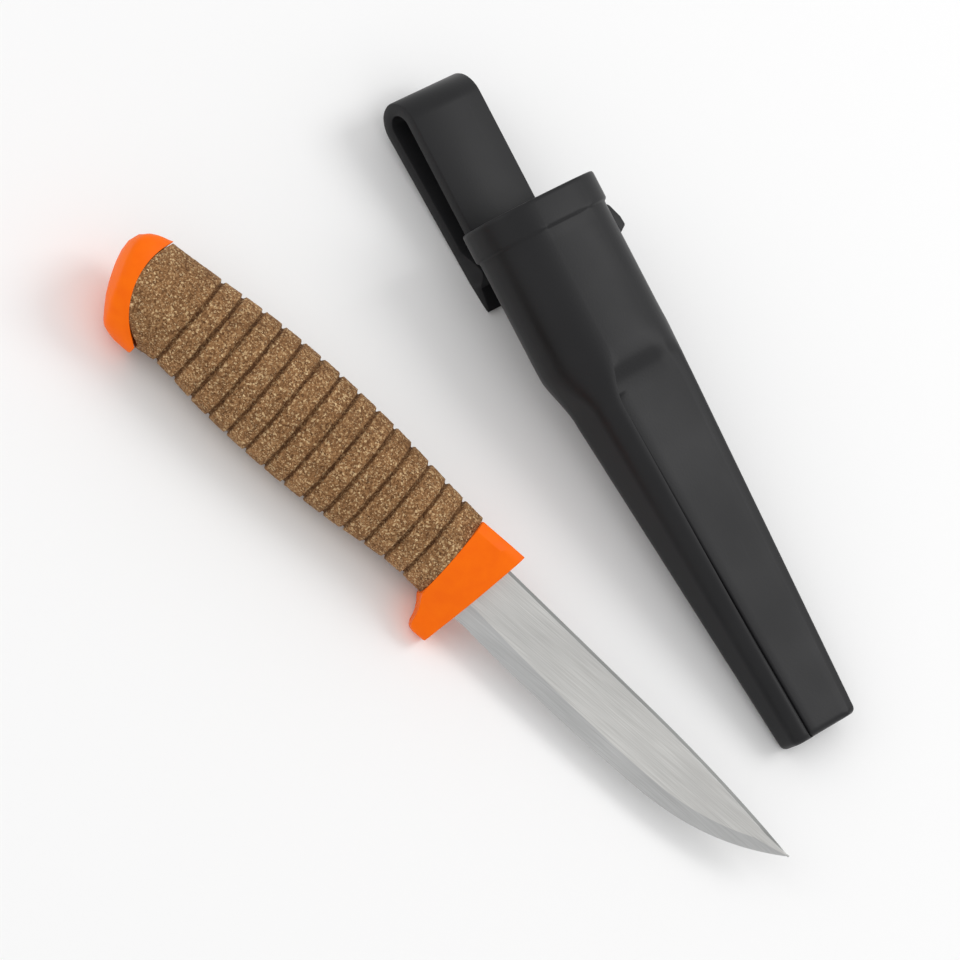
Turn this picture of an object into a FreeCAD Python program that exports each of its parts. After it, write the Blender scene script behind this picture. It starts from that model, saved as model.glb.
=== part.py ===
"""Fixed-blade sailing knife with a cork grip, lying beside its belt sheath.  Millimetres, +Z up.

The knife and the sheath are each modelled in a frame of their own and then laid on the ground (z = 0).
Knife frame:  x from butt to tip (0 at the guard's front), y towards the spine, z through the thickness.
Sheath frame: x from mouth to tip (0 at the mouth), y across, z towards the front face.
"""
import FreeCAD, Part
import math
import os

V = FreeCAD.Vector
X_AXIS, Y_AXIS, Z_AXIS = V(1, 0, 0), V(0, 1, 0), V(0, 0, 1)

# ---- driving dimensions: knife -------------------------------------------------------------------
blade_length = 99.0            # guard to point
blade_thickness = 2.2
heel_spine = 5.2               # spine height over the handle's axis where the blade leaves the guard
heel_edge = 12.5               # edge depth below the handle's axis there
belly_drop = 2.5               # how much deeper the edge runs at the belly
belly_start = 56.0             # from here the edge sweeps up to the point
point_drop = 3.5               # the point lies this far below the handle's axis
bevel_height = 4.3             # width of the ground edge bevel
edge_land = 0.12               # thickness left along the cutting edge
tang_length = 92.0
tang_width = 10.0
tang_end_width = 7.0
tang_hole = 4.0                # two keying holes that the handle core fills

handle_length = 123.5          # guard's front to the butt
grip_width = 30.2              # at the belly
grip_thickness = 23.0
grip_front_width = 24.0
grip_front_thickness = 20.4
grip_neck_width = 26.2         # narrowest, just before the butt flares
grip_butt_thickness = 21.0
groove_count = 14
groove_pitch = 6.12
first_groove = -20.0
groove_width = 1.2
groove_depth = 0.75
seam_front = -13.6             # where the cork meets the guard
butt_seam_radius = 20.0        # the cork's rear end is a round scoop that the cap fits
butt_seam_rise = 4.6
butt_seam_centre = -96.6
butt_heel_drop = 15.0          # the cap's lower corner

guard_height = 31.4            # from the top of the guard to the finger stop's end
guard_top = 9.8
guard_front_slope = 9.3        # degrees, the front leans back towards the finger stop
finger_stop_width = 5.6
finger_stop_thickness = 8.0
core_width = 16.0
core_thickness = 9.0
core_length = 117.4            # reaches into the butt cap

# ---- driving dimensions: sheath ------------------------------------------------------------------
sheath_length = 152.0
sheath_wall = 1.3
mouth_width = 37.0
mouth_depth = 24.0
edge_side_round = 11.6         # corner radius on the blade's edge side
spine_side_round = 10.0
pocket_length = 44.0           # the part that takes the guard and the front of the grip
seat_depth = 28.0              # the guard's front stops this far inside the mouth
shoulder_length = 8.0
case_edge_side = (-15.0, -6.2)  # the blade case at its start and at its tip: low y
case_spine_side = (16.8, 15.4)  # high y
case_back = (3.4, 7.4)         # low z
case_front = (22.2, 17.4)      # high z
case_wall = 1.4
case_skin = 1.9                # front and back of the blade case
end_wall = 3.0
drain_hole = 4.0
panel_recess = 0.8             # the front panel lies this far under the ridge on its edge
ridge_width = 4.4
seam_groove = 1.0              # groove between ridge and panel
collar_height = 8.2
collar_lip = 0.7
ear_reach = 2.6
strap_width = 22.5
strap_front = 0.5              # over the sheath's back face
strap_thickness = 3.6
belt_gap = 7.0                 # room for the belt inside the fold
loop_reach = 38.7              # the fold stands this far above the mouth
fold_cut = 98.0                # degrees round the fold where the free leg begins
flex_room = 7.0                # degrees left open there, so that the leg can flex open
leg_lean = 3.0                 # degrees, the leg leans in towards the sheath
leg_length = 51.0              # from the fold's centre to the leg's tip
leg_toe = (0.7, 0.6)           # the leg's end is cut back this far and this high underneath
barb_height = 4.3
barb_from_tip = 9.5

# ---- clearances and how the two lie on the ground ------------------------------------------------
fit_gap = 0.1                  # between pieces that are pushed together
knife_roll = 29.0              # degrees, the spine side up
knife_pitch = 0.0              # degrees, point up: level, it rests on its finger stop and its butt cap
sheath_yaw = -21.1             # degrees, the sheath's axis against the knife's
sheath_place = (-54.6, 85.6)   # the sheath's mouth from the front of the guard, on the ground


# ---- section and outline helpers -----------------------------------------------------------------
def ellipse_wire(x, y_mid, half_width, half_thickness):
    """Closed ellipse in the plane at x, wider or narrower along y than along z."""
    big, small = max(half_width, half_thickness), min(half_width, half_thickness)
    along = Y_AXIS if half_width >= half_thickness else Z_AXIS
    across = X_AXIS.cross(along)
    centre = V(x, y_mid, 0)
    curve = Part.Ellipse(centre + along * big, centre + across * small, centre)
    return Part.Wire(curve.toShape())


def rounded_box_wire(x, y_low, y_high, z_low, z_high, r_low, r_high):
    """Rectangle in the plane at x, with one corner radius on its low-y side and one on its high-y side."""
    corners = [(y_high, z_low, 1, -1, r_high), (y_high, z_high, 1, 1, r_high),
               (y_low, z_high, -1, 1, r_low), (y_low, z_low, -1, -1, r_low)]
    arcs, ends = [], []
    for index, (y, z, sy, sz, radius) in enumerate(corners):
        r = min(radius, (z_high - z_low) / 2 - 0.2)
        d = r * (1 - math.sqrt(0.5))
        on_side, on_flat = V(x, y, z - sz * r), V(x, y - sy * r, z)
        first, last = (on_flat, on_side) if index % 2 == 0 else (on_side, on_flat)
        arcs.append(Part.Arc(first, V(x, y - sy * d, z - sz * d), last).toShape())
        ends.append((first, last))
    edges = []
    for index in range(4):
        edges.append(arcs[index])
        edges.append(Part.LineSegment(ends[index][1], ends[(index + 1) % 4][0]).toShape())
    return Part.Wire(edges)


def prism(points, axis, thickness):
    """Solid of a closed outline, thick the same to both sides of its plane."""
    shift = axis * (-thickness / 2)
    outline = Part.makePolygon([V(*p) + shift for p in points + points[:1]])
    return Part.Face(outline).extrude(axis * thickness)


def rounded(solid, radius, choose):
    """The solid with the chosen edges rounded."""
    edges = [edge for edge in solid.Edges if choose(edge)]
    return solid.makeFillet(radius, edges)


# ---- knife ---------------------------------------------------------------------------------------
def spine_line(x):
    fall = heel_spine * 0.0119 * x
    late = max(0.0, x - blade_length / 2) / (blade_length / 2)
    straight_end = heel_spine * (1 - 0.0119 * blade_length)
    return heel_spine - fall - (straight_end + point_drop) * late ** 2


def edge_line(x):
    if x <= belly_start:
        share = (belly_start - x) / belly_start
        return -heel_edge - belly_drop * (1 - share ** 2)
    sweep = (x - belly_start) / (blade_length - belly_start)
    depth = heel_edge + belly_drop - point_drop
    return -heel_edge - belly_drop + depth * sweep ** 2.4


def blade_section(x):
    """Five-sided section: flat sides down to the bevel, then ground to the edge."""
    top, low = spine_line(x), edge_line(x)
    if x >= blade_length:
        top, low = -point_drop + 0.25, -point_drop - 0.25
    height = top - low
    bevel = low + min(bevel_height, 0.5 * height)
    thin = blade_thickness / 2 * min(1.0, 0.2 + (blade_length - x) / 14.0)
    land = edge_land / 2
    points = [(top, thin), (bevel, thin), (low, land), (low, -land), (bevel, -thin), (top, -thin)]
    return Part.makePolygon([V(x, y, z) for y, z in points + points[:1]])


def make_blade():
    heel_inside = 8.0              # how far the full blade runs on inside the guard
    steps = 27
    shares = [1 - (1 - step / steps) ** 1.4 for step in range(steps + 1)]
    run = blade_length + heel_inside
    body = Part.makeLoft([blade_section(run * share - heel_inside) for share in shares], True, True)
    tang_top, tang_low = tang_width / 2 - 1.5, -tang_width / 2 - 1.5
    taper = (tang_width - tang_end_width) / 2
    tang = prism([(-tang_length, tang_top - taper, 0), (-heel_inside + 0.5, tang_top, 0),
                  (-heel_inside + 0.5, tang_low, 0), (-tang_length, tang_low + taper, 0)],
                 Z_AXIS, blade_thickness)
    blade = body.fuse(tang).removeSplitter()
    for share in (0.35, 0.75):
        hole = Part.makeCylinder(tang_hole / 2, 4 * blade_thickness,
                                 V(-tang_length * share, -1.5, -2 * blade_thickness), Z_AXIS)
        blade = blade.cut(hole)
    return blade


def handle_envelope(grow=0.0):
    """The whole grip's outer form, from behind the butt to the guard, grown by a skin."""
    front, butt, top = grip_front_width / 2, grip_neck_width / 2, grip_width / 2
    rows = [                       # x, middle of the section, half width, half thickness
        (-handle_length - 2, -1.4, butt * 1.04, grip_butt_thickness / 2),
        (-handle_length * 0.92, -1.0, butt * 1.035, grip_butt_thickness / 2),
        (-handle_length * 0.81, 0.5, butt, grip_butt_thickness / 2),
        (-handle_length * 0.68, 0.3, top * 0.965, grip_thickness / 2 * 0.98),
        (-handle_length * 0.52, 0.0, top, grip_thickness / 2),
        (-handle_length * 0.36, -0.2, top * 0.945, grip_thickness / 2 * 0.96),
        (-handle_length * 0.20, -0.4, front * 1.03, grip_front_thickness / 2 * 1.01),
        (seam_front * 0.9, -1.4, front, grip_front_thickness / 2),
    ]
    return Part.makeLoft([ellipse_wire(x, y, a + grow, b + grow) for x, y, a, b in rows], True, False)


def butt_scoop(radius):
    """Round bar across the butt, along which the cork and the cap meet."""
    return Part.makeCylinder(radius, 60, V(butt_seam_centre, butt_seam_rise, -30), Z_AXIS)


def core_bar(grow=0.0):
    """The inner bar that the tang is moulded into."""
    wide, thick = core_width / 2 + grow, core_thickness / 2 + grow
    front = rounded_box_wire(seam_front + 1, -wide, wide, -thick, thick, 3.5, 3.5)
    back = rounded_box_wire(-core_length - grow, -wide + 2, wide - 2, -thick + 1, thick - 1, 2.5, 2.5)
    bar = Part.makeLoft([front, back], True, True)
    return bar.translated(V(0, -1.0, 0))


def make_guard_core(blade):
    """Guard with its finger stop, and the bar behind it, one moulding round the tang."""
    low = guard_top - guard_height
    slope = math.tan(math.radians(guard_front_slope))
    front_top, front_low = 0.0, -guard_height * slope
    stop_back = front_low - finger_stop_width
    outline = [(seam_front, guard_top + 0.6), (front_top, guard_top - 0.3), (front_low, low), (stop_back, low),
               (stop_back - 0.3, low + 3.6), (stop_back - 1.3, low + 6.2), (stop_back - 2.4, low + 7.8),
               (seam_front, -grip_front_width / 2 - 1.2)]
    side = prism([(x, y, 0) for x, y in outline], Z_AXIS, 40)
    side = rounded(side, 0.8, lambda e: e.BoundBox.ZLength > 39 and e.BoundBox.XMax > seam_front + 1)
    half, stop = grip_front_thickness / 2, finger_stop_thickness / 2
    crown = guard_top + 1
    across = [(0, half * 0.7, crown), (0, half, crown - 3.8), (0, half, -2), (0, half * 0.84, -8.5),
              (0, stop + 1.2, -14), (0, stop, low + 3), (0, stop * 0.85, low + 1.2), (0, stop * 0.4, low)]
    ends = [(x, y, z) for x, z, y in across] + [(x, y, -z) for x, z, y in reversed(across)]
    end_on = prism(ends, X_AXIS, 60)
    plan = [(seam_front - 1, 0, half + 0.2), (seam_front + 3, 0, half), (3, 0, half * 0.74),
            (3, 0, -half * 0.74), (seam_front + 3, 0, -half), (seam_front - 1, 0, -half - 0.2)]
    from_above = prism(plan, Y_AXIS, 80)
    guard = side.common(end_on).common(from_above)
    guard = guard.fuse(core_bar()).removeSplitter()
    return guard.cut(blade)


def make_cork_grip():
    grip = handle_envelope().common(butt_scoop(butt_seam_radius).fuse(
        Part.makeBox(-butt_seam_centre + seam_front, 60, 60, V(butt_seam_centre, -30, -30))))
    grip = grip.cut(core_bar(fit_gap))
    for index in range(groove_count):
        x = first_groove - groove_pitch * index
        band = Part.makeBox(groove_width, 60, 60, V(x - groove_width / 2, -30, -30))
        grip = grip.cut(band.common(handle_envelope(3.0)).cut(handle_envelope(-groove_depth)))
    return grip


def make_butt_cap():
    """Cap over the rear of the grip, with a socket for the end of the core."""
    end = -handle_length
    dome = [(end + 24, 14), (end + 8.5, 12.6), (end + 4.6, 11.4), (end + 1.6, 9.4), (end + 0.3, 7.2), (end, 4.8),
            (end + 0.5, 1.6), (end + 2.2, -3.3), (end + 4.6, -8.2), (end + 6.6, -11.0), (end + 8.9, -13.7),
            (end + 11.0, -butt_heel_drop), (end + 13.8, -butt_heel_drop), (end + 17.5, -13.6), (end + 24, -13)]
    side = prism([(x, y, 0) for x, y in dome], Z_AXIS, 60)
    plan = [(end - 3, 0, 7.4), (end + 3, 0, 8.9), (end + 12, 0, 10.5), (end + 30, 0, 10.5)]
    plan += [(x, y, -z) for x, y, z in reversed(plan)]
    from_above = prism(plan, Y_AXIS, 60)
    body = handle_envelope(0.5).common(side).common(from_above)
    body = body.cut(butt_scoop(butt_seam_radius + fit_gap))
    return body.cut(core_bar(fit_gap))


# ---- sheath --------------------------------------------------------------------------------------
middle = mouth_depth / 2       # height of the blade's plane over the sheath's back


def case_at(x):
    """Low y, high y, back and front of the blade case at x."""
    start = pocket_length + shoulder_length
    share = (x - start) / (sheath_length - start)
    sides = (case_edge_side, case_spine_side, case_back, case_front)
    return [first + share * (last - first) for first, last in sides]


def pocket_wire(x, skin, narrow=0.0):
    half = mouth_width / 2 - narrow
    return rounded_box_wire(x, -half - skin, half + skin, -skin, mouth_depth + skin,
                            edge_side_round + skin, spine_side_round + skin)


def case_wire(x, corner, side_wall=0.0, skin_wall=0.0):
    low_y, high_y, back, front = case_at(x)
    return rounded_box_wire(x, low_y + side_wall, high_y - side_wall, back + skin_wall, front - skin_wall,
                            corner, corner)


def make_sheath_shell():
    case_start = pocket_length + shoulder_length
    pocket = Part.makeLoft([pocket_wire(0, 0), pocket_wire(pocket_length, 0, 0.3)], True, True)
    shoulder = Part.makeLoft([pocket_wire(pocket_length, 0, 0.3), case_wire(case_start, 5.5)], True, True)
    case = Part.makeLoft([case_wire(case_start, 5.5), case_wire(sheath_length, 3.2)], True, True)
    collar = Part.makeLoft([pocket_wire(0, collar_lip), pocket_wire(collar_height, collar_lip)], True, True)
    collar = rounded(collar, 0.6, lambda e: e.BoundBox.XLength < 0.01)
    case = rounded(case, 1.4, lambda e: e.BoundBox.XMin > sheath_length - 0.1)
    return pocket, shoulder, case, collar


def panel_cutter():
    """Removes the skin right of the ridge, and a deeper groove along the ridge."""
    sections = {"panel": [], "groove": []}
    for x in (pocket_length + shoulder_length - 3, sheath_length + 1):
        low_y, _, _, front = case_at(x)
        inner = low_y + ridge_width
        for name, far, depth in (("panel", 30, panel_recess), ("groove", inner + seam_groove, 2 * panel_recess)):
            ring = [V(x, inner, front - depth), V(x, far, front - depth), V(x, far, front + 6), V(x, inner, front + 6)]
            sections[name].append(Part.makePolygon(ring + ring[:1]))
    return Part.makeLoft(sections["panel"], True, True).fuse(Part.makeLoft(sections["groove"], True, True))


def make_cavity():
    """Room for the guard and the front of the grip, a funnel below it, and the blade's room."""
    case_start = pocket_length + shoulder_length
    mouth = Part.makeLoft([pocket_wire(-1, -sheath_wall), pocket_wire(seat_depth, -sheath_wall)], True, True)
    funnel_top = rounded_box_wire(seat_depth - 0.2, -12.5, 13.5, sheath_wall + 1, mouth_depth - sheath_wall - 1, 6, 6)
    wires = [funnel_top, case_wire(case_start, 4.0, case_wall, case_skin),
             case_wire(sheath_length - end_wall, 2.0, case_wall, case_skin)]
    blade_part = Part.makeLoft(wires, True, True)
    low_y, high_y, back, front = case_at(sheath_length)
    drain = Part.makeCylinder(drain_hole / 2, 12, V(sheath_length - 8, (low_y + high_y) / 2, (back + front) / 2), X_AXIS)
    return mouth.fuse([blade_part, drain])


def fold_ring(first_angle, last_angle):
    """Part of the fold, as a bent band about the fold's centre, angles from the strap round to the leg."""
    inner, outer = belt_gap / 2, belt_gap / 2 + strap_thickness
    centre = fold_centre()
    tube = Part.makeCylinder(outer, strap_width, V(0, -strap_width / 2, 0), Y_AXIS)
    tube = tube.cut(Part.makeCylinder(inner, strap_width, V(0, -strap_width / 2, 0), Y_AXIS))
    wedge = [(0, 0, 0)]
    steps = 6
    for step in range(steps + 1):
        angle = math.radians(first_angle + (last_angle - first_angle) * step / steps)
        wedge.append((-20 * math.sin(angle), 0, 20 * math.cos(angle)))
    return tube.common(prism(wedge, Y_AXIS, 60)).translated(centre)


def fold_centre():
    outer = belt_gap / 2 + strap_thickness
    return V(-loop_reach + outer, 0, strap_front - outer)


def make_sheath_body():
    pocket, shoulder, case, collar = make_sheath_shell()
    centre = fold_centre()
    strap = Part.makeBox(-centre.x + 26, strap_width, strap_thickness,
                         V(centre.x, -strap_width / 2, strap_front - strap_thickness))
    ear_root = mouth_width / 2 - 1.2
    ear = prism([(9.2, ear_root, 0), (9.6, ear_root + 1.2, 0), (13.6, ear_root + ear_reach + 0.8, 0),
                 (15.9, ear_root + ear_reach + 1.0, 0), (18.2, ear_root, 0)], Z_AXIS, 7)
    ear = ear.translated(V(0, 0, middle + 1))
    solid = pocket.fuse([shoulder, case, collar, strap, fold_ring(0, fold_cut), ear]).removeSplitter()
    solid = solid.cut(make_cavity()).cut(panel_cutter())
    return solid


def make_clip_leg():
    """The part of the clip beyond the fold, with its lead-in tip and its barb."""
    centre = fold_centre()
    top, low = -belt_gap / 2, -belt_gap / 2 - strap_thickness
    barb = leg_length - barb_from_tip
    outline = [(0, top), (barb - 7, top), (barb - 1.2, top + barb_height - 0.5), (barb, top + barb_height),
               (barb + 1.2, top + barb_height - 0.5), (barb + 3.4, top + 0.3), (leg_length - 0.6, top - 1.4),
               (leg_length, top - 2.0), (leg_length - leg_toe[0], low + leg_toe[1]), (leg_length - 9, low), (0, low)]
    leg = prism([(x, 0, z) for x, z in outline], Y_AXIS, strap_width)
    leg = leg.rotated(V(0, 0, 0), Y_AXIS, -leg_lean).translated(centre)
    ring = fold_ring(fold_cut + flex_room, 180 + leg_lean)
    return leg.fuse(ring).removeSplitter()


# ---- laying both on the ground -------------------------------------------------------------------
def lay_knife(shape):
    return shape.rotated(V(0, 0, 0), X_AXIS, knife_roll).rotated(V(0, 0, 0), Y_AXIS, -knife_pitch)


def lay_sheath(shape):
    """The sheath lies on the toe of the clip's leg and on its own tip."""
    lean, centre = math.radians(leg_lean), fold_centre()
    toe_x, toe_z = leg_length - leg_toe[0], leg_toe[1] - belt_gap / 2 - strap_thickness
    foot_x = centre.x + toe_x * math.cos(lean) - toe_z * math.sin(lean)
    foot_z = centre.z + toe_x * math.sin(lean) + toe_z * math.cos(lean)
    pitch = math.degrees(math.atan2(case_back[1] - foot_z, sheath_length - foot_x))
    return shape.rotated(V(0, 0, 0), Y_AXIS, pitch).rotated(V(0, 0, 0), Z_AXIS, sheath_yaw)


def tight_box(shapes):
    """The true box of some shapes; their plain BoundBox is too wide round curved faces."""
    return Part.makeCompound(list(shapes.values())).optimalBoundingBox(False, False)


blade = make_blade()
guard_core = make_guard_core(blade)
knife = {"blade": blade, "guard_core": guard_core, "cork_grip": make_cork_grip(),
         "butt_cap": make_butt_cap()}
sheath = {"sheath_body": make_sheath_body(), "clip_leg": make_clip_leg()}
knife = {name: lay_knife(shape) for name, shape in knife.items()}
sheath = {name: lay_sheath(shape) for name, shape in sheath.items()}
knife_drop, sheath_drop = tight_box(knife).ZMin, tight_box(sheath).ZMin
knife = {name: shape.translated(V(0, 0, -knife_drop)) for name, shape in knife.items()}
sheath = {name: shape.translated(V(sheath_place[0], sheath_place[1], -sheath_drop))
          for name, shape in sheath.items()}

pieces = {**knife, **sheath}
box = tight_box(pieces)
to_centre = V(-(box.XMin + box.XMax) / 2, -(box.YMin + box.YMax) / 2, 0)
os.makedirs("parts", exist_ok=True)
for name, shape in pieces.items():
    shape = shape.translated(to_centre)
    shape.exportStep("parts/" + name + ".step")
    print(name, "valid", shape.isValid(), "solids", len(shape.Solids), "volume", round(shape.Volume), shape.BoundBox)
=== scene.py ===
import math

import bmesh
import bpy
from mathutils import Matrix, Vector, noise


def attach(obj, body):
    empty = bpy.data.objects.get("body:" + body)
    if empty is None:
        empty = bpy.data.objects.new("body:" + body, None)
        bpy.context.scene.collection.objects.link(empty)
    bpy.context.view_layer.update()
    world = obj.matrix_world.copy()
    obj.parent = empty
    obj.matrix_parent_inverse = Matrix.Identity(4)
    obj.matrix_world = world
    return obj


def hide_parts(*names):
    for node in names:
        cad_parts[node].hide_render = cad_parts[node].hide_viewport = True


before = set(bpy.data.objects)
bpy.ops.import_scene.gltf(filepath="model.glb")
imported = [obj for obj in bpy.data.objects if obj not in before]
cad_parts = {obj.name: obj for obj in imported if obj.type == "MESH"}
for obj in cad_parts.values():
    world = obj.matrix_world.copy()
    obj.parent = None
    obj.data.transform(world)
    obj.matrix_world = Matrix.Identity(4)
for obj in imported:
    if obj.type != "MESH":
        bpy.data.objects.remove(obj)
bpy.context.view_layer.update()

MM = 0.001

# ---- blade --------------------------------------------------------------------------------------
# A stamped and ground carbon-steel blade, brushed along its length, its tang moulded into the handle.
# The knife lies on its finger stop and butt cap.  Its own frame has x from butt to point (0 at the
# guard's front), y towards the spine and z through the blade.
knife_roll = math.radians(29.0)
knife_turn = Matrix.Rotation(knife_roll, 3, "X")
blade_length = 99.0 * MM
blade_thickness = 2.2 * MM
heel_spine = 5.2 * MM
belly_depth = 15.0 * MM


def unturned_box(node, turn):
    """Lowest and highest corners of a CAD node, measured along the axes of its own frame."""
    back = turn.transposed()
    points = [back @ vertex.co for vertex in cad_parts[node].data.vertices]
    return [Vector([pick(point[axis] for point in points) for axis in range(3)]) for pick in (min, max)]


def place_matrix(turn, own_corner, cad_corner):
    """Matrix that brings a point of the piece's own frame to its place in the CAD frame."""
    return Matrix.Translation(turn @ (cad_corner - own_corner)) @ turn.to_4x4()


blade_low, blade_high = unturned_box("blade", knife_turn)
blade_middle = Vector((blade_high.x, blade_low.y, (blade_low.z + blade_high.z) / 2))
knife_place = place_matrix(knife_turn, Vector((blade_length, -belly_depth, 0)), blade_middle)


def finish_piece(bm, name, place, material, body, replaced, sharp_degrees=40.0):
    """Turns a finished bmesh into a placed object that rides on its body and stands for its CAD node."""
    bmesh.ops.recalc_face_normals(bm, faces=bm.faces)
    bm.transform(place)
    mesh = bpy.data.meshes.new(name)
    bm.to_mesh(mesh)
    bm.free()
    mesh.materials.append(material)
    for face in mesh.polygons:
        face.use_smooth = True
    mesh.set_sharp_from_angle(angle=math.radians(sharp_degrees))
    piece = bpy.data.objects.new(name, mesh)
    bpy.context.scene.collection.objects.link(piece)
    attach(piece, body)
    if replaced:
        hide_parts(replaced)
    return piece


def new_material(name, roughness, metallic=0.0):
    """A node material and its shader, with the plain numbers set on the shader itself."""
    material = bpy.data.materials.new(name)
    material.use_nodes = True
    shader = material.node_tree.nodes["Principled BSDF"]
    shader.inputs["Roughness"].default_value = roughness
    shader.inputs["Metallic"].default_value = metallic
    return material, shader


def add_node(material, kind, **settings):
    """Adds a node; settings name its properties, or its inputs where the name starts with in_."""
    node = material.node_tree.nodes.new(kind)
    for key, value in settings.items():
        if key.startswith("in_"):
            node.inputs[key[3:].replace("_", " ")].default_value = value
        else:
            setattr(node, key, value)
    return node


def join(material, source, output, target, socket):
    material.node_tree.links.new(source.outputs[output], target.inputs[socket])


def local_mapping(material, turn, scale):
    """Object coordinates turned into the piece's own frame and scaled along each of its axes."""
    coordinates = add_node(material, "ShaderNodeTexCoord")
    turned = add_node(material, "ShaderNodeMapping")
    turned.inputs["Rotation"].default_value = turn.transposed().to_euler("XYZ")
    scaled = add_node(material, "ShaderNodeMapping")
    scaled.inputs["Scale"].default_value = scale
    join(material, coordinates, "Object", turned, "Vector")
    join(material, turned, "Vector", scaled, "Vector")
    return scaled


def ramp(material, stops, source, output="Fac"):
    """Colour ramp driven by a node's output; stops are (position, colour)."""
    node = add_node(material, "ShaderNodeValToRGB")
    elements = node.color_ramp.elements
    while len(elements) < len(stops):
        elements.new(0.5)
    for element, (position, colour) in zip(elements, stops):
        element.position = position
        element.color = (*colour, 1.0)
    join(material, source, output, node, "Fac")
    return node


def add_bump(material, shader, source, output, distance, strength=1.0, before=None):
    bump = add_node(material, "ShaderNodeBump", in_Strength=strength, in_Distance=distance)
    join(material, source, output, bump, "Height")
    if before:
        join(material, before, "Normal", bump, "Normal")
    join(material, bump, "Normal", shader, "Normal")
    return bump


def loft(bm, rings):
    """Skins a list of rings: the first is a created circle, each next one is extruded from the last."""
    count = len(rings[0])
    made = bmesh.ops.create_circle(bm, segments=count, radius=1.0)["verts"]
    for vert, place in zip(made, rings[0]):
        vert.co = place
    edges = [bm.edges.get((made[index], made[(index + 1) % count])) for index in range(count)]
    first_edges, ring = edges, made
    for places in rings[1:]:
        result = bmesh.ops.extrude_edge_only(bm, edges=edges)
        partner = {}
        for vert in ring:
            for edge in vert.link_edges:
                other = edge.other_vert(vert)
                if other in result["geom"]:
                    partner[vert] = other
        ring = [partner[vert] for vert in ring]
        for vert, place in zip(ring, places):
            vert.co = place
        edges = [bm.edges.get((ring[index], ring[(index + 1) % count])) for index in range(count)]
    return first_edges, edges


def close_end(bm, edges):
    bmesh.ops.contextual_create(bm, geom=edges)


def blend_rows(rows, x):
    """Smooth values between the rows of a table that starts each row with its x."""
    if x <= rows[0][0]:
        return rows[0][1:]
    for index in range(len(rows) - 1):
        low, high = rows[index], rows[index + 1]
        if x <= high[0]:
            before = rows[max(index - 1, 0)]
            after = rows[min(index + 2, len(rows) - 1)]
            span = high[0] - low[0]
            share = (x - low[0]) / span
            values = []
            for k in range(1, len(low)):
                rise_low = (high[k] - before[k]) / (high[0] - before[0]) * span
                rise_high = (after[k] - low[k]) / (after[0] - low[0]) * span
                a, b = share ** 2, share ** 3
                values.append((2 * b - 3 * a + 1) * low[k] + (b - 2 * a + share) * rise_low
                              + (3 * a - 2 * b) * high[k] + (b - a) * rise_high)
            return values
    return rows[-1][1:]


edge_land = 0.12 * MM
bevel_heel = 5.0 * MM
bevel_point = 3.3 * MM
spine_chamfer = 0.9 * MM
heel_inside = 4.0 * MM
point_drop = 3.5 * MM
heel_edge = 12.5 * MM
belly_start = 56.0 * MM
spine_fall = 0.0119 * 5.2
blade_steps = 110


def spine_line(x):
    late = max(0.0, x - blade_length / 2) / (blade_length / 2)
    straight_end = heel_spine - spine_fall * blade_length
    return heel_spine - spine_fall * x - (straight_end + point_drop) * late ** 2


def edge_line(x):
    if x <= belly_start:
        share = (belly_start - x) / belly_start
        return -heel_edge - (belly_depth - heel_edge) * (1 - share ** 2)
    sweep = (x - belly_start) / (blade_length - belly_start)
    return -belly_depth + (belly_depth - point_drop) * sweep ** 2.4


def blade_lines(x):
    """Top of the chamfer, foot of the chamfer, top of the bevel and cutting edge at x."""
    top, low = spine_line(x), edge_line(max(x, 0.0))
    if top - low < 0.5 * MM:
        top, low = -point_drop + 0.25 * MM, -point_drop - 0.25 * MM
    height = top - low
    width = bevel_heel + (bevel_point - bevel_heel) * max(x, 0.0) / blade_length
    return top, top - min(spine_chamfer, 0.15 * height), low + min(width, 0.5 * height), low


def blade_ring(x):
    """Section of the blade: chamfered spine, flat sides, bevel and edge."""
    top, chamfer, bevel, low = blade_lines(x)
    thin = blade_thickness / 2 * min(1.0, 0.2 + (blade_length - x) / (14.0 * MM))
    step = (top - chamfer) * 0.1
    half = [(top, thin * 0.72), (chamfer + step, thin * 0.97), (chamfer, thin), (bevel, thin),
            (bevel - step, thin * 0.97), (low, edge_land / 2)]
    return [Vector((x, y, z)) for y, z in half] + [Vector((x, y, -z)) for y, z in reversed(half)]


def facet_shade_share(point):
    """Painted shade mask: 0 on the flats, half on the edge bevel and 1 on the spine's chamfer, which the
    steel's colour darkens.
    """
    _, chamfer, bevel, _ = blade_lines(point.x)
    if point.y > chamfer + 0.01 * MM:
        return 1.0
    return 0.5 if point.y < bevel - 0.005 * MM else 0.0


steel, steel_shader = new_material("brushed_steel_blade", 0.36, 1.0)
brush_space = local_mapping(steel, knife_turn, (60.0, 5200.0, 900.0))
brush = add_node(steel, "ShaderNodeTexNoise", in_Scale=1.0, in_Detail=4.0, in_Roughness=0.65)
join(steel, brush_space, "Vector", brush, "Vector")
cloud_space = local_mapping(steel, knife_turn, (26.0, 110.0, 60.0))
cloud = add_node(steel, "ShaderNodeTexNoise", in_Scale=1.0, in_Detail=3.0, in_Roughness=0.6)
join(steel, cloud_space, "Vector", cloud, "Vector")
brush_tone = ramp(steel, [(0.3, (0.47, 0.465, 0.45)), (0.52, (0.56, 0.555, 0.54)),
                          (0.72, (0.66, 0.655, 0.64))], brush)
cloud_tone = ramp(steel, [(0.3, (0.84, 0.84, 0.84)), (0.7, (1.0, 1.0, 0.995))], cloud)
tone = add_node(steel, "ShaderNodeMix", data_type="RGBA", blend_type="MULTIPLY")
tone.inputs[0].default_value = 1.0
join(steel, brush_tone, "Color", tone, 6)
join(steel, cloud_tone, "Color", tone, 7)
# The edge bevel and the spine's chamfer are darkened in the base colour: painted shade standing in for the
# darker reflection of these facets.
facet_shade = add_node(steel, "ShaderNodeAttribute", attribute_name="facet_shade")
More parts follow.
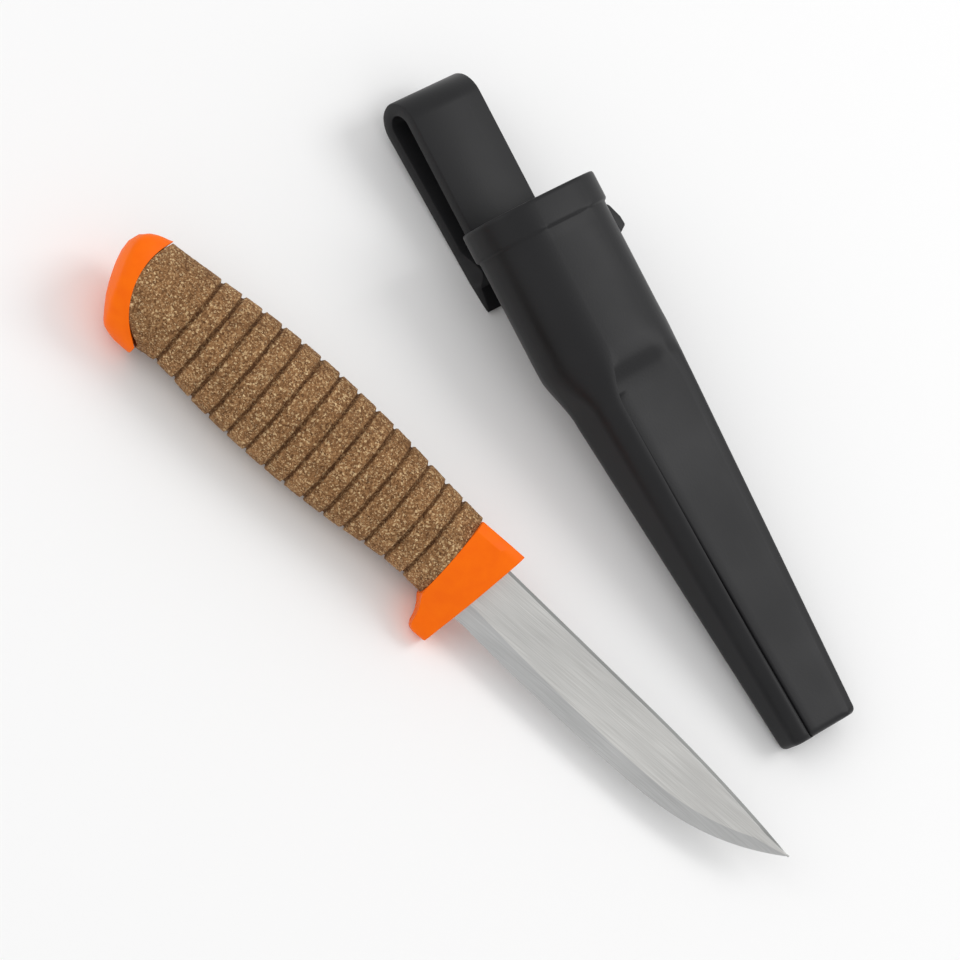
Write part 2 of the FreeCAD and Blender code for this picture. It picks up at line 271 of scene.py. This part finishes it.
facet_shade_tone = ramp(steel, [(0.05, (1.0, 1.0, 1.0)), (0.45, (0.80, 0.81, 0.83)), (0.6, (0.80, 0.81, 0.83)),
                           (0.95, (0.42, 0.43, 0.43))], facet_shade)
facet_shade_mix = add_node(steel, "ShaderNodeMix", data_type="RGBA", blend_type="MULTIPLY")
facet_shade_mix.inputs[0].default_value = 1.0
steel.node_tree.links.new(tone.outputs[2], facet_shade_mix.inputs[6])
join(steel, facet_shade_tone, "Color", facet_shade_mix, 7)
steel.node_tree.links.new(facet_shade_mix.outputs[2], steel_shader.inputs["Base Color"])
rough_tone = ramp(steel, [(0.3, (0.30, 0.30, 0.30)), (0.7, (0.42, 0.42, 0.42))], brush)
join(steel, rough_tone, "Color", steel_shader, "Roughness")
add_bump(steel, steel_shader, brush, "Fac", 0.00002, 0.5)

blade_bm = bmesh.new()
shares = [1 - (1 - step / blade_steps) ** 1.3 for step in range(blade_steps + 1)]   # closer near the point
stations = [-heel_inside] + [blade_length * share for share in shares]
start_edges, end_edges = loft(blade_bm, [blade_ring(x) for x in stations])
# Mask for the painted shade on the edge bevel and the spine's chamfer.
facet_shade_layer = blade_bm.verts.layers.float.new("facet_shade")
for vert in blade_bm.verts:
    vert[facet_shade_layer] = facet_shade_share(vert.co)
close_end(blade_bm, start_edges)
close_end(blade_bm, end_edges)
finish_piece(blade_bm, "ground_blade", knife_place, steel, "knife", "blade", 12.0)

# ---- cork grip ----------------------------------------------------------------------------------
# Ground cork bound with rubber and moulded round the core, so the surface is an even mass of fine
# brown and straw-coloured grains.  Narrow grooves run right round it and the ribs have soft edges.
seam_front = -13.6 * MM
groove_count = 14
groove_pitch = 6.12 * MM
first_groove = -20.0 * MM
groove_width = 0.95 * MM
groove_depth = 0.8 * MM
seam_centre = Vector((-96.6 * MM, 4.6 * MM, 0))
seam_radius = 20.0 * MM
seam_reach = 17.9 * MM
grip_around = 168
grip_along = 330
grip_rows = [(-125.5, -1.4, 13.62, 10.5), (-113.62, -1.0, 13.56, 10.5), (-100.0, 0.5, 13.1, 10.5),
             (-84.0, 0.3, 14.57, 11.27), (-64.2, 0.0, 15.1, 11.5), (-44.5, -0.2, 14.27, 11.04),
             (-24.7, -0.4, 12.36, 10.3), (-10.3, -1.4, 12.0, 10.2)]
grip_rows = [tuple(value * MM for value in row) for row in grip_rows]


def groove_share(x):
    """0 on a rib, 1 at the bottom of a groove."""
    nearest = round((first_groove - x) / groove_pitch)
    nearest = min(max(nearest, 0), groove_count - 1)
    away = abs(x - first_groove + nearest * groove_pitch) / (groove_width / 2)
    if away < 0.62:
        return 1.0
    if away < 1.35:
        slope = (away - 0.62) / 0.73
        return 1.0 - slope ** 2 * (3 - 2 * slope)
    return 0.0


def grip_point(x, angle, skin=0.0):
    middle, half_width, half_thick = blend_rows(grip_rows, x)
    return Vector((x, middle + (half_width + skin) * math.cos(angle), (half_thick + skin) * math.sin(angle)))


def seam_x(y):
    """Where the cork ends and the butt cap begins at this height."""
    away = min(abs(y - seam_centre.y), seam_reach)
    return seam_centre.x - math.sqrt(seam_radius ** 2 - away ** 2)


cork, cork_shader = new_material("bound_cork", 0.85)
cork_shader.inputs["Specular IOR Level"].default_value = 0.2
cork_space = add_node(cork, "ShaderNodeTexCoord")
grains = add_node(cork, "ShaderNodeTexVoronoi", feature="F1", in_Scale=2150.0, in_Randomness=1.0)
fine_grains = add_node(cork, "ShaderNodeTexVoronoi", feature="F1", in_Scale=3900.0, in_Randomness=1.0)
patches = add_node(cork, "ShaderNodeTexNoise", in_Scale=150.0, in_Detail=3.0)
for texture in (grains, fine_grains, patches):
    join(cork, cork_space, "Object", texture, "Vector")
grain_split = add_node(cork, "ShaderNodeSeparateColor")
join(cork, grains, "Color", grain_split, "Color")
fine_split = add_node(cork, "ShaderNodeSeparateColor")
join(cork, fine_grains, "Color", fine_split, "Color")
grain_tone = ramp(cork, [(0.0, (0.095, 0.040, 0.014)), (0.35, (0.20, 0.094, 0.036)),
                         (0.62, (0.31, 0.158, 0.064)), (0.88, (0.43, 0.24, 0.105)),
                         (0.97, (0.85, 0.62, 0.34))], grain_split, "Red")
fine_tone = ramp(cork, [(0.0, (0.08, 0.034, 0.012)), (0.5, (0.24, 0.118, 0.047)), (0.86, (0.40, 0.225, 0.10)),
                        (0.955, (0.86, 0.64, 0.37))], fine_split, "Green")
cork_mix = add_node(cork, "ShaderNodeMix", data_type="RGBA", blend_type="MIX")
cork_mix.inputs[0].default_value = 0.45
join(cork, grain_tone, "Color", cork_mix, 6)
join(cork, fine_tone, "Color", cork_mix, 7)
patch_tone = ramp(cork, [(0.3, (0.80, 0.78, 0.76)), (0.7, (1.08, 1.08, 1.08))], patches)
cork_patched = add_node(cork, "ShaderNodeMix", data_type="RGBA", blend_type="MULTIPLY")
cork_patched.inputs[0].default_value = 1.0
cork.node_tree.links.new(cork_mix.outputs[2], cork_patched.inputs[6])
join(cork, patch_tone, "Color", cork_patched, 7)
# The grooves are darkened in the base colour: painted shade in the recesses.
groove_shade = add_node(cork, "ShaderNodeAttribute", attribute_name="groove")
groove_shade_tone = ramp(cork, [(0.1, (1.0, 1.0, 1.0)), (0.9, (0.50, 0.44, 0.39))], groove_shade)
cork_final = add_node(cork, "ShaderNodeMix", data_type="RGBA", blend_type="MULTIPLY")
cork_final.inputs[0].default_value = 1.0
cork.node_tree.links.new(cork_patched.outputs[2], cork_final.inputs[6])
join(cork, groove_shade_tone, "Color", cork_final, 7)
cork.node_tree.links.new(cork_final.outputs[2], cork_shader.inputs["Base Color"])
coarse_bump = add_bump(cork, cork_shader, grains, "Distance", 0.00022, 0.4)
add_bump(cork, cork_shader, fine_grains, "Distance", 0.00014, 0.45, coarse_bump)

grip_bm = bmesh.new()
rings = []
for step in range(grip_along + 1):
    share = step / grip_along
    ring = []
    for index in range(grip_around):
        angle = math.tau * index / grip_around
        rear = seam_x(grip_point(-110.0 * MM, angle).y) + 0.05 * MM
        x = rear + (seam_front - 0.02 * MM - rear) * share
        point = grip_point(x, angle, -0.12 * MM)
        spoke = Vector((0, point.y, point.z)).normalized()
        rough = noise.noise(point / (0.9 * MM)) * 0.10 + noise.noise(point / (0.45 * MM)) * 0.06
        wander = noise.noise(point / (2.5 * MM)) * 0.16 * MM
        point -= spoke * (groove_share(x + wander) * groove_depth + (0.08 - rough) * MM)
        ring.append(point)
    rings.append(ring)
start_edges, end_edges = loft(grip_bm, rings)
# The groove mask also drives the painted shade in the grooves.
groove_layer = grip_bm.verts.layers.float.new("groove")
for vert in grip_bm.verts:
    vert[groove_layer] = groove_share(vert.co.x + noise.noise(vert.co / (2.5 * MM)) * 0.16 * MM)
close_end(grip_bm, start_edges)
close_end(grip_bm, end_edges)
finish_piece(grip_bm, "ribbed_cork_grip", knife_place, cork, "knife", "cork_grip", 75.0)

# ---- guard and core -----------------------------------------------------------------------------
# The guard and the finger stop are one orange polypropylene moulding with the bar inside the grip.
# The sides fall away towards the blade and the stop, and every edge is softly rounded.
guard_slope = math.tan(math.radians(9.3))
guard_top = 9.8
guard_levels = [                 # height, back, half thickness behind, half thickness at the front
    (-21.5, -8.2, 1.7, 1.5), (-21.3, -9.4, 2.3, 2.0), (-20.8, -10.3, 3.0, 2.6), (-19.6, -10.85, 3.7, 3.2),
    (-18.2, -11.05, 4.1, 3.6), (-16.8, -11.5, 4.6, 4.0), (-15.4, -12.15, 5.1, 4.5), (-14.3, -12.9, 5.7, 5.0),
    (-13.4, -13.5, 6.2, 5.4), (-11.0, -13.56, 7.3, 6.2), (-8.5, -13.56, 8.5, 7.0), (-5.5, -13.56, 9.4, 7.5),
    (-2.0, -13.56, 10.15, 7.9), (3.0, -13.56, 10.15, 8.0), (6.8, -13.56, 10.0, 7.9), (8.6, -13.56, 8.9, 7.3),
    (9.7, -13.56, 7.6, 6.4)]

orange, orange_shader = new_material("orange_polypropylene", 0.5)
orange_shader.inputs["Specular IOR Level"].default_value = 0.12
orange_noise = add_node(orange, "ShaderNodeTexNoise", in_Scale=240.0, in_Detail=3.0)
orange_space = add_node(orange, "ShaderNodeTexCoord")
join(orange, orange_space, "Object", orange_noise, "Vector")
orange_tone = ramp(orange, [(0.3, (0.95, 0.142, 0.0)), (0.7, (0.99, 0.165, 0.0))], orange_noise)
join(orange, orange_tone, "Color", orange_shader, "Base Color")
orange_rough = ramp(orange, [(0.3, (0.45, 0.45, 0.45)), (0.7, (0.56, 0.56, 0.56))], orange_noise)
join(orange, orange_rough, "Color", orange_shader, "Roughness")
orange_grain = add_node(orange, "ShaderNodeTexNoise", in_Scale=2600.0, in_Detail=2.0)
join(orange, orange_space, "Object", orange_grain, "Vector")
add_bump(orange, orange_shader, orange_grain, "Fac", 0.00003, 0.35)


def guard_ring(y, back, thick_back, thick_front):
    front = (y - guard_top) * guard_slope
    rise = min(max((y + 13.0) / 22.0, 0.0), 1.0)
    facet = back + (front - back) * (0.06 + 0.62 * rise ** 1.6)
    halfway = (facet + (front - facet) * 0.5, (thick_back + thick_front) / 2)
    half = [(back, thick_back), (facet, thick_back), halfway, (front, thick_front)]
    return [Vector((x * MM, y * MM, z * MM)) for x, z in half + [(x, -z) for x, z in reversed(half)]]


guard_bm = bmesh.new()
start_edges, end_edges = loft(guard_bm, [guard_ring(*level) for level in guard_levels])
close_end(guard_bm, start_edges)
close_end(guard_bm, end_edges)
guard = finish_piece(guard_bm, "finger_guard", knife_place, orange, "knife", "guard_core",
                     50.0)
soft_edge = guard.modifiers.new("soft edges", "BEVEL")
soft_edge.width = 0.9 * MM
soft_edge.segments = 4
soft_edge.limit_method = "ANGLE"
soft_edge.angle_limit = math.radians(28.0)
soft_edge.harden_normals = True

# ---- butt cap -----------------------------------------------------------------------------------
# The cap is a second orange moulding over the end of the core.  The cork's round end sits in it, it is
# thin at the spine and it ends in a small heel under the little finger.
cap_outline = [(-15.0, -111.2), (-13.7, -114.6), (-11.0, -116.9), (-8.2, -118.9),
               (-3.3, -121.3), (1.6, -123.0),
               (4.8, -123.5), (7.2, -123.2), (9.4, -121.9), (11.4, -118.9), (12.6, -115.0)]
cap_around = 72


def cap_end_x(y, z):
    outline = [(row[0] * MM, row[1] * MM) for row in cap_outline]
    return blend_rows(outline, y)[0] + 2.2 * MM * (z / (10.5 * MM)) ** 2


def cap_point(angle, size, share):
    """A point of the cap: size shrinks the section, share runs from the seam to the outer face."""
    base = grip_point(-113.0 * MM, angle, 0.1 * MM)
    heel = max(0.0, -math.cos(angle)) ** 4 * 0.35 * MM
    centre = grip_point(-113.0 * MM, math.pi / 2)
    y = centre.y + (base.y - centre.y) * size - heel * size
    z = base.z * size
    seam = seam_x(y) - 0.06 * MM
    end = min(cap_end_x(y, z), seam - 0.35 * MM)
    return Vector((seam + (end - seam) * share, y, z))


cap_bm = bmesh.new()
cap_rings = []
cap_profile = [(0.55, 0.0), (0.985, 0.0), (1.0, 0.08), (1.0, 0.45), (0.998, 0.78),
               (0.985, 0.9), (0.96, 0.965),
               (0.92, 0.995), (0.86, 1.0), (0.7, 1.0), (0.5, 1.0), (0.3, 1.0), (0.1, 1.0)]
for size, share in cap_profile:
    cap_rings.append([cap_point(math.tau * index / cap_around, size, share) for index in range(cap_around)])
start_edges, end_edges = loft(cap_bm, cap_rings)
close_end(cap_bm, start_edges)
close_end(cap_bm, end_edges)
finish_piece(cap_bm, "butt_cap_shell", knife_place, orange, "knife", "butt_cap", 50.0)

# ---- sheath shell -------------------------------------------------------------------------------
# One injection moulding in black polypropylene: collar, round-sided pocket, soft shoulder and slim case
# with a raised ridge.  It lies on its back on the toe of the clip's leg and its own tip.  Its own frame
# has x from mouth to tip, y across and z from the flat back towards the front panel.
sheath_yaw = math.radians(-21.1)
sheath_length = 152.0 * MM
mouth_width = 37.0 * MM
mouth_depth = 24.0 * MM
collar_lip = 0.7 * MM
belt_gap = 7.0 * MM
strap_thickness = 3.6 * MM
strap_width = 22.5 * MM
strap_front = 0.5 * MM
loop_reach = 38.7 * MM
tip_back = 7.4 * MM
fold_outer = belt_gap / 2 + strap_thickness
fold_centre = Vector((fold_outer - loop_reach, 0, strap_front - fold_outer))
leg_lean = math.radians(3.0)
leg_length = 51.0 * MM
toe_spot = Vector((leg_length - 0.7 * MM, 0, 0.6 * MM - fold_outer))
foot = fold_centre + Matrix.Rotation(-leg_lean, 3, "Y") @ toe_spot
sheath_pitch = math.atan2(tip_back - foot.z, sheath_length - foot.x)
sheath_turn = Matrix.Rotation(sheath_yaw, 3, "Z") @ Matrix.Rotation(sheath_pitch, 3, "Y")
sheath_low, sheath_high = unturned_box("sheath_body", sheath_turn)
own_low = Vector((-loop_reach, -mouth_width / 2 - collar_lip, mouth_depth + collar_lip))
sheath_place = place_matrix(sheath_turn, own_low, Vector((sheath_low.x, sheath_low.y, sheath_high.z)))
middle = mouth_depth / 2
case_rows = [                    # x, low y, high y, back, front, edge-side and spine-side corner radius
    (44.0, -18.3, 18.3, 0.0, 24.0, 11.6, 10.0), (52.0, -15.0, 16.8, 3.4, 22.2, 5.5, 5.5),
    (152.0, -6.2, 15.4, 7.4, 17.4, 3.2, 3.2)]
case_rows = [tuple(value * MM for value in row) for row in case_rows]
pocket_oval = 2.7                # how square the pocket's section is; 2 is an ellipse
ridge_width = 4.4 * MM
panel_recess = 0.8 * MM
relief_start = 45.5 * MM         # where the panel begins to sink in
oval_end = 36 * MM               # up to here the section is the pocket's oval
tip_centre = Vector((0, 4.6 * MM, 12.4 * MM))
corner_points = 9
side_points = 5


def soft_step(share):
    share = min(max(share, 0.0), 1.0)
    return share ** 2 * (3 - 2 * share)


def shell_size(x):
    """The six section values of case_rows at x."""
    pocket, start, tip = (Vector(row[1:]) for row in case_rows)
    if x < case_rows[0][0] - 3 * MM:
        return pocket
    if x < case_rows[1][0] + 4 * MM:
        share = soft_step((x - case_rows[0][0] + 3 * MM) / (case_rows[1][0] - case_rows[0][0] + 7 * MM))
        far = start + (tip - start) * ((4 * MM) / (152 * MM - case_rows[1][0]))
        return pocket + (far - pocket) * share
    return start + (tip - start) * ((x - case_rows[1][0]) / (152 * MM - case_rows[1][0]))


def panel_profile(low_y, high_y, r_edge, r_spine):
    """Heights of the front face across it: panel, groove and ridge, as (y, height) rows."""
    inner = low_y + ridge_width
    flat = high_y - r_spine
    low = -panel_recess
    crest = min(inner - 0.35 * MM, low_y + r_edge + 1.8 * MM)
    rows = [(flat - (flat - inner - 1.6 * MM) * step / 6, low) for step in range(7)]
    rows += [(inner + 1.05 * MM, low - 0.15 * MM), (inner + 0.85 * MM, low - 0.75 * MM),
             (inner + 0.3 * MM, low - 0.8 * MM), (inner + 0.1 * MM, low - 0.2 * MM),
             (inner - 0.1 * MM, -0.35 * MM),
             (inner - 0.5 * MM, -0.06 * MM), (crest - 0.5 * MM, 0.0)]
    return rows


def relief(x, y, low_y):
    """How far the panel has sunk in: none on the pocket, all on the case, later near the ridge."""
    late = max(0.0, 1 - (y - low_y - ridge_width) / (6 * MM)) ** 2 * 4 * MM
    return soft_step((x - relief_start - late) / (5 * MM))


def shell_ring(x, skin=0.0):
    """Section of the sheath's outside, or of its inside where skin is negative."""
    low_y, high_y, back, front, r_edge, r_spine = shell_size(x)
    low_y, high_y, back, front = low_y - skin, high_y + skin, back - skin, front + skin
    most = (front - back) * 0.485
    r_edge, r_spine = (min(max(radius + skin, 0.3 * MM), most) for radius in (r_edge, r_spine))
    points = []

    def corner(y, z, radius, first):
        for step in range(corner_points):
            angle = math.radians(first + 90 * step / (corner_points - 1))
            points.append(Vector((x, y + radius * math.cos(angle), z + radius * math.sin(angle))))

    corner(high_y - r_spine, back + r_spine, r_spine, -90)
    corner(high_y - r_spine, front - r_spine, r_spine, 0)
    for point in points[corner_points:]:
        reach = soft_step((point.z - front + 1.6 * MM) / (1.6 * MM))
        point.z -= panel_recess * relief(x, point.y, low_y) * reach
    for y, drop in panel_profile(low_y, high_y, r_edge, r_spine):
        y = min(max(y, low_y + r_edge), high_y - r_spine)
        points.append(Vector((x, y, front + drop * relief(x, y, low_y))))
    corner(low_y + r_edge, front - r_edge, r_edge, 90)
    corner(low_y + r_edge, back + r_edge, r_edge, 180)
    for step in range(1, side_points):
        span = high_y - low_y - r_edge - r_spine
        points.append(Vector((x, low_y + r_edge + span * step / side_points, back)))

    oval = 1 - soft_step((x - oval_end) / (16 * MM))
    centre = Vector((x, (low_y + high_y) / 2, (back + front) / 2))
    for point in points:
        off = point - centre
        across, through = 2 * abs(off.y) / (high_y - low_y), 2 * abs(off.z) / (front - back)
        beyond = (across ** pocket_oval + through ** pocket_oval) ** (1 / pocket_oval)
        point.xyz = centre + off * (1 + (1 / beyond - 1) * oval)
    return points


black, black_shader = new_material("black_polypropylene", 0.42)
black_shader.inputs["Specular IOR Level"].default_value = 0.2
black_space = add_node(black, "ShaderNodeTexCoord")
black_grain = add_node(black, "ShaderNodeTexNoise", in_Scale=1500.0, in_Detail=3.0)
join(black, black_space, "Object", black_grain, "Vector")
black_cloud = add_node(black, "ShaderNodeTexNoise", in_Scale=45.0, in_Detail=4.0)
join(black, black_space, "Object", black_cloud, "Vector")
scuff_space = local_mapping(black, sheath_turn, (22.0, 420.0, 420.0))
scuffs = add_node(black, "ShaderNodeTexNoise", in_Scale=1.0, in_Detail=5.0, in_Roughness=0.7)
join(black, scuff_space, "Vector", scuffs, "Vector")
black_tone = ramp(black, [(0.3, (0.0095, 0.0095, 0.0105)), (0.7, (0.0125, 0.0125, 0.0135))], black_cloud)
scuff_tone = ramp(black, [(0.62, (1.0, 1.0, 1.0)), (0.80, (1.3, 1.3, 1.3))], scuffs)
black_mix = add_node(black, "ShaderNodeMix", data_type="RGBA", blend_type="MULTIPLY")
black_mix.inputs[0].default_value = 1.0
join(black, black_tone, "Color", black_mix, 6)
join(black, scuff_tone, "Color", black_mix, 7)
black.node_tree.links.new(black_mix.outputs[2], black_shader.inputs["Base Color"])
black_rough = ramp(black, [(0.3, (0.36, 0.36, 0.36)), (0.7, (0.46, 0.46, 0.46))], black_cloud)
join(black, black_rough, "Color", black_shader, "Roughness")
add_bump(black, black_shader, black_grain, "Fac", 0.00004, 0.5)

shell_bm = bmesh.new()
shell_rings = []
wall_rows = [(27.9, -1.3), (14.0, -1.3), (1.6, -1.3), (0.5, -1.15), (0.1, -0.85), (0.0, -0.5), (0.0, 0.15),
             (0.15, 0.5), (0.6, 0.68), (1.2, 0.7), (7.0, 0.7), (7.6, 0.66), (8.0, 0.45), (8.25, 0.1),
             (8.6, 0.0)]   # x, how far the section stands out
for x, skin in wall_rows:
    shell_rings.append(shell_ring(x * MM, skin * MM))
inner_floor = [[Vector((point.x, point.y * shrink, middle + (point.z - middle) * shrink))
                for point in shell_rings[0]] for shrink in (0.62, 0.9)]
x = 12.0
while x < 149.6:
    shell_rings.append(shell_ring(x * MM))
    x += 0.8 if 34 < x < 60 else 3.0
for back, skin in ((2.0, 0.0), (1.4, -0.02), (0.9, -0.16), (0.5, -0.42), (0.2, -0.8), (0.03, -1.25)):
    shell_rings.append(shell_ring(sheath_length - back * MM, skin * MM))
flat_end = shell_rings[-1]


def drain_ring(radius, depth):
    ring = []
    for point in flat_end:
        spoke = (Vector((0, point.y, point.z)) - tip_centre).normalized()
        ring.append(Vector((sheath_length - depth * MM, 0, 0)) + tip_centre + spoke * radius * MM)
    return ring


shell_rings += [drain_ring(2.2, 0.0), drain_ring(2.0, 0.25), drain_ring(2.0, 4.0)]
shell_rings = inner_floor + shell_rings
start_edges, end_edges = loft(shell_bm, shell_rings)
close_end(shell_bm, start_edges)
close_end(shell_bm, end_edges)
finish_piece(shell_bm, "sheath_shell", sheath_place, black, "sheath", "sheath_body", 60.0)

# ---- belt strap and clip leg --------------------------------------------------------------------
# The strap rises from the back of the collar, folds over and comes down as a springy leg that ends in
# a barb and a thin lead-in tip.  The fold's two halves run into each other so that it can flex.
barb_height = 4.3 * MM
barb_from_tip = 9.5 * MM
fold_steps = 14


def band_ring(centre, outward, thickness, width):
    """Section of the strap: a thin rectangle whose long edges are softly broken."""
    half, thick, soft, chip = width / 2, thickness / 2, 0.55 * MM, 0.16 * MM
    outline = [(half - soft, -thick), (half - chip, -thick + chip), (half, -thick + soft),
               (half, thick - soft), (half - chip, thick - chip), (half - soft, thick), (0, thick),
               (-half + soft, thick), (-half + chip, thick - chip), (-half, thick - soft),
               (-half, -thick + soft), (-half + chip, -thick + chip), (-half + soft, -thick), (0, -thick)]
    return [centre + Vector((0, y, 0)) + outward * z for y, z in outline]


def fold_rings(first, last, inset):
    """Sections round the fold, from the strap's side (0 degrees) to the leg's side (180 degrees)."""
    rings = []
    for step in range(fold_steps + 1):
        angle = math.radians(first + (last - first) * step / fold_steps)
        outward = Vector((-math.sin(angle), 0, math.cos(angle)))
        centre = fold_centre + outward * (belt_gap / 2 + strap_thickness / 2)
        rings.append(band_ring(centre, outward, strap_thickness - 2 * inset, strap_width - 2 * inset))
    return rings


strap_bm = bmesh.new()
up = Vector((0, 0, 1))
strap_line = strap_front - strap_thickness / 2
strap_rings = []
for x in (25.9, 25.3, 12.0, -4.0, -16.0):
    thin = strap_thickness - (1.0 * MM if x > 25.5 else 0.0)
    strap_rings.append(band_ring(Vector((x * MM, 0, strap_line)), up, thin, strap_width))
strap_rings += fold_rings(0.0, 98.0, 0.0)
start_edges, end_edges = loft(strap_bm, strap_rings)
close_end(strap_bm, start_edges)
close_end(strap_bm, end_edges)
finish_piece(strap_bm, "belt_strap", sheath_place, black, "sheath", None, 35.0)

leg_bm = bmesh.new()
leg_rings = fold_rings(91.0, 180.0 + math.degrees(leg_lean), 0.03 * MM)
barb = leg_length - barb_from_tip
leg_profile = [(8.0 * MM, 0, 0), (20.0 * MM, 0, 0), (barb - 7 * MM, 0, 0),
               (barb - 4 * MM, barb_height * 0.5, 0), (barb - 1.2 * MM, barb_height - 0.5 * MM, 0),
               (barb, barb_height, 0), (barb + 1.2 * MM, barb_height - 0.5 * MM, 0),
               (barb + 2.4 * MM, barb_height * 0.45, 0.1 * MM), (barb + 3.4 * MM, 0.3 * MM, 0.2 * MM),
               (barb + 6.4 * MM, -0.6 * MM, 0.35 * MM), (leg_length - 1.0 * MM, -1.2 * MM, 0.6 * MM),
               (leg_length - 0.1 * MM, -1.7 * MM, 0.9 * MM)]
lean = Matrix.Rotation(-leg_lean, 3, "Y")
for x, raise_top, raise_low in leg_profile:
    top = -belt_gap / 2 + raise_top
    low = -belt_gap / 2 - strap_thickness + raise_low
    flip = [Vector((x, -y, (top + low) / 2 - z)) for _, y, z in
            band_ring(Vector((0, 0, 0)), up, (top - low) - 0.06 * MM, strap_width - 0.06 * MM)]
    leg_rings.append([fold_centre + lean @ Vector((point.x, -point.y, point.z)) for point in flip])
start_edges, end_edges = loft(leg_bm, leg_rings)
close_end(leg_bm, start_edges)
close_end(leg_bm, end_edges)
finish_piece(leg_bm, "clip_leg_band", sheath_place, black, "clip", "clip_leg", 35.0)

# ---- ear on the collar --------------------------------------------------------------------------
# A small moulded ear stands out on the spine side below the collar, where a thumb pushes the sheath
# off or a cord is caught round it.
ear_bm = bmesh.new()
ear_root = mouth_width / 2 - 1.2 * MM
ear_outline = [(8.5, 0.4), (9.6, 1.9), (13.5, 3.4), (15.9, 3.6), (17.8, 0.4)]
ear_face = [ear_bm.verts.new((x * MM, ear_root + y * MM, middle - 2.5 * MM)) for x, y in ear_outline]
bottom = ear_bm.faces.new(ear_face)
raised = bmesh.ops.extrude_face_region(ear_bm, geom=[bottom])
bmesh.ops.translate(ear_bm, verts=[item for item in raised["geom"] if isinstance(item, bmesh.types.BMVert)],
                    vec=(0, 0, 7.0 * MM))
bmesh.ops.bevel(ear_bm, geom=list(ear_bm.edges), offset=0.5 * MM, offset_type="OFFSET", segments=3,
                profile=0.5, affect="EDGES", material=-1, clamp_overlap=True)
finish_piece(ear_bm, "collar_ear", sheath_place, black, "sheath", None, 50.0)

# ---- floor, light and camera --------------------------------------------------------------------
# A pale table top under soft studio light: one broad lamp high on the right and a weaker one low on
# the left, with a long lens looking down from the knife's side.
floor_bm = bmesh.new()
bmesh.ops.create_grid(floor_bm, x_segments=1, y_segments=1, size=3.0)
floor_mesh = bpy.data.meshes.new("floor")
floor_bm.to_mesh(floor_mesh)
floor_bm.free()
floor = bpy.data.objects.new("floor", floor_mesh)
bpy.context.scene.collection.objects.link(floor)
floor_paint, floor_shader = new_material("pale_table", 0.9)
floor_shader.inputs["Base Color"].default_value = (0.93, 0.93, 0.93, 1.0)
floor_mesh.materials.append(floor_paint)

world = bpy.data.worlds.new("studio")
bpy.context.scene.world = world
world.use_nodes = True
sky = world.node_tree.nodes["Background"]
sky.inputs["Color"].default_value = (1.0, 1.0, 1.0, 1.0)
ray = world.node_tree.nodes.new("ShaderNodeLightPath")
seen = world.node_tree.nodes.new("ShaderNodeMath")
seen.operation = "MAXIMUM"
seen_or_glassy = world.node_tree.nodes.new("ShaderNodeMath")
seen_or_glassy.operation = "MAXIMUM"
level = world.node_tree.nodes.new("ShaderNodeMapRange")
level.inputs["To Min"].default_value = 0.78
level.inputs["To Max"].default_value = 1.0
links = world.node_tree.links
links.new(ray.outputs["Is Camera Ray"], seen.inputs[0])
links.new(ray.outputs["Is Glossy Ray"], seen.inputs[1])
links.new(seen.outputs[0], seen_or_glassy.inputs[0])
links.new(ray.outputs["Is Transmission Ray"], seen_or_glassy.inputs[1])
links.new(seen_or_glassy.outputs[0], level.inputs["Value"])
links.new(level.outputs["Result"], sky.inputs["Strength"])

lamps = (("key_lamp", (0.55, 0.75, 1.1), 0.7, 5.5), ("fill_lamp", (-0.9, -0.5, 0.8), 0.9, 2.2))
for name, place, size, power in lamps:
    lamp = bpy.data.lights.new(name, "AREA")
    lamp.energy = power
    lamp.size = size
    lamp_object = bpy.data.objects.new(name, lamp)
    lamp_object.location = place
    lamp_object.rotation_euler = (-Vector(place)).to_track_quat("-Z", "Y").to_euler()
    bpy.context.scene.collection.objects.link(lamp_object)

camera_azimuth = math.radians(-100.48)
camera_elevation = math.radians(56.61)
camera_roll = math.radians(49.48)
camera_distance = 1.298
camera_shift = (-12.24 * MM, -7.49 * MM)
image_span = 242.0 * MM    # width seen at the camera's distance
sight = Vector((math.cos(camera_elevation) * math.cos(camera_azimuth),
                math.cos(camera_elevation) * math.sin(camera_azimuth), math.sin(camera_elevation)))
level_right = Vector((0, 0, 1)).cross(sight).normalized()
level_up = sight.cross(level_right)
right = level_right * math.cos(camera_roll) + level_up * math.sin(camera_roll)
up_image = level_up * math.cos(camera_roll) - level_right * math.sin(camera_roll)
camera_data = bpy.data.cameras.new("camera")
camera_data.sensor_width = 36.0
camera_data.lens = 36.0 * camera_distance / image_span
camera = bpy.data.objects.new("camera", camera_data)
camera_turn = Matrix((right, up_image, sight)).transposed()
camera_spot = sight * camera_distance + right * camera_shift[0] + up_image * camera_shift[1]
camera.matrix_world = Matrix.Translation(camera_spot) @ camera_turn.to_4x4()
bpy.context.scene.collection.objects.link(camera)
bpy.context.scene.camera = camera
bpy.context.scene.view_settings.view_transform = "Standard"
